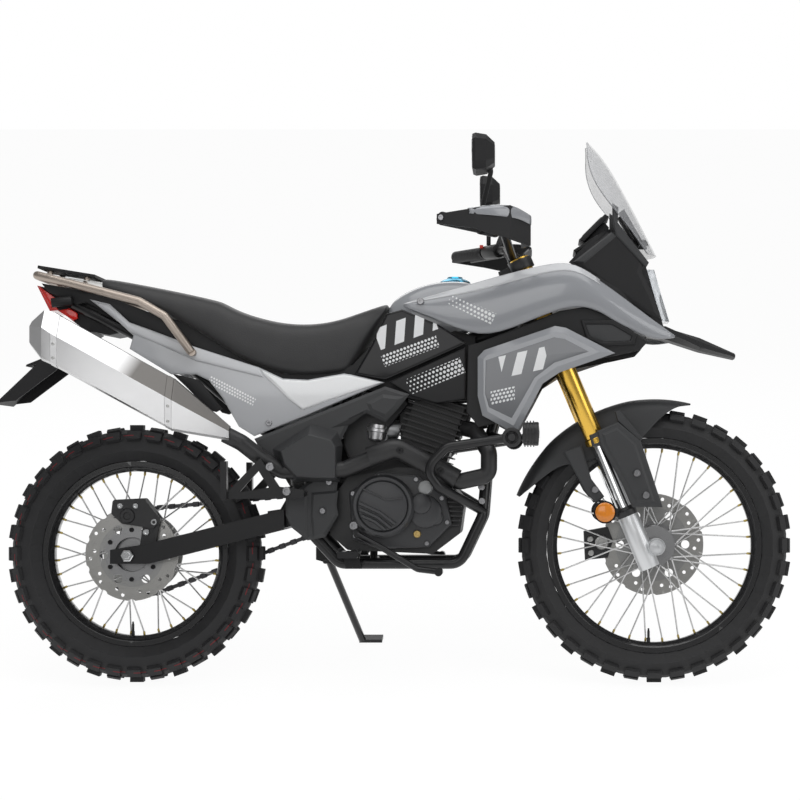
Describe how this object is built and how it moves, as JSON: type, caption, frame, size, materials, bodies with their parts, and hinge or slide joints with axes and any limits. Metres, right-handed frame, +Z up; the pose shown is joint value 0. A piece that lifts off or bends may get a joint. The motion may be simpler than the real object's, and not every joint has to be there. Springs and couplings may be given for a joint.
{
  "type": "adventure motorcycle",
  "caption": "Dual-sport adventure motorcycle with wire wheels, knobbly tyres, tall screen, side exhaust and luggage rack, parked on its side stand; steering, wheels, stand and fuel cap move.",
  "frame": {"origin": "middle of the bounding box at floor level, with the machine leaning on its side stand", "axes": "+X forward along the machine, +Y to the rider's left, +Z up"},
  "size_m": [2.0638, 0.8648, 1.4264],
  "materials": {
    "alloy": "cast",
    "black_gloss": "gloss black",
    "black_matte": "matte black",
    "cap_blue": "blue anodised",
    "champagne": "champagne anodised",
    "clear_lens": "clear lens",
    "engine_black": "satin black",
    "engine_grey": "satin dark grey",
    "frame_black": "satin black",
    "gold": "gold anodised",
    "grey_dark": "gloss dark grey",
    "grey_gloss": "gloss mid grey",
    "grey_matte": "matte dark grey",
    "red_lens": "red lens",
    "rim_black": "gloss black",
    "screen_clear": "clear",
    "seat_cover": "matte vinyl",
    "silver": "silver grey",
    "steel": "brushed",
    "tyre": "matte black rubber"
  },
  "bodies": {
    "frame": {"beak": "black_matte", "carburettor": "alloy", "clutch_cover": "engine_grey", "crankcase": "engine_black", "crash_bars": "frame_black", "cylinder": "engine_black", "dash": "black_matte", "drive_chain": "steel", "exhaust_header": "frame_black", "fog_lamps": "black_matte", "foot_controls": "frame_black", "footpegs": "alloy", "front_cowl": "black_matte", "fuel_tank": "grey_gloss", "grab_rail": "champagne", "headlamp": "clear_lens", "indicators": "clear_lens", "lower_covers": "grey_matte", "luggage_rack": "grey_matte", "main_frame": "frame_black", "rear_caliper": "frame_black", "rear_mudguard": "black_matte", "rear_shock": "frame_black", "rear_subframe": "frame_black", "scoop_panels": "black_matte", "seat": "seat_cover", "shrouds": "grey_dark", "side_covers": "black_gloss", "silencer": "alloy", "swingarm": "frame_black", "tail_lamp": "red_lens", "tail_panels": "silver", "tank_panels": "grey_gloss", "windscreen": "screen_clear"},
    "steering": {"triple_clamps": "frame_black", "fork_uppers": "gold", "fork_lowers": "alloy", "front_mudguard": "grey_matte", "front_caliper": "frame_black", "handlebar": "frame_black", "controls": "frame_black", "hand_guards": "black_matte", "mirrors": "black_matte"},
    "front_wheel": {"front_tyre": "tyre", "front_rim": "rim_black", "front_hub": "steel", "front_disc": "steel"},
    "rear_wheel": {"rear_tyre": "tyre", "rear_rim": "rim_black", "rear_hub": "steel", "rear_disc": "steel", "rear_sprocket": "steel"},
    "side_stand": {"side_stand": "frame_black"},
    "fuel_cap": {"fuel_cap": "cap_blue"}
  },
  "joints": [
    {"name": "steering_turn", "type": "hinge", "parent": "frame", "child": "steering", "pos_m": [0.33625, -0.0414, 0.95281], "axis": [-0.3907, 0.2071, 0.8969], "range_deg": [-38, 38]},
    {"name": "front_wheel_spin", "type": "hinge", "parent": "steering", "child": "front_wheel", "pos_m": [0.67511, -0.18011, 0.352], "axis": [0, 0.9744, -0.225], "continuous": true},
    {"name": "rear_wheel_spin", "type": "hinge", "parent": "frame", "child": "rear_wheel", "pos_m": [-0.67989, -0.18498, 0.33093], "axis": [0, 0.9744, -0.225], "continuous": true},
    {"name": "side_stand_fold", "type": "hinge", "parent": "frame", "child": "side_stand", "pos_m": [-0.19989, -0.04099, 0.2878], "axis": [0, 0.9776, 0.2106], "range_deg": [0, 105]},
    {"name": "fuel_cap_lid", "type": "hinge", "parent": "frame", "child": "fuel_cap", "pos_m": [0.18711, -0.02421, 1.02728], "axis": [0, 0.9744, -0.225], "range_deg": [0, 95]}
  ]
}
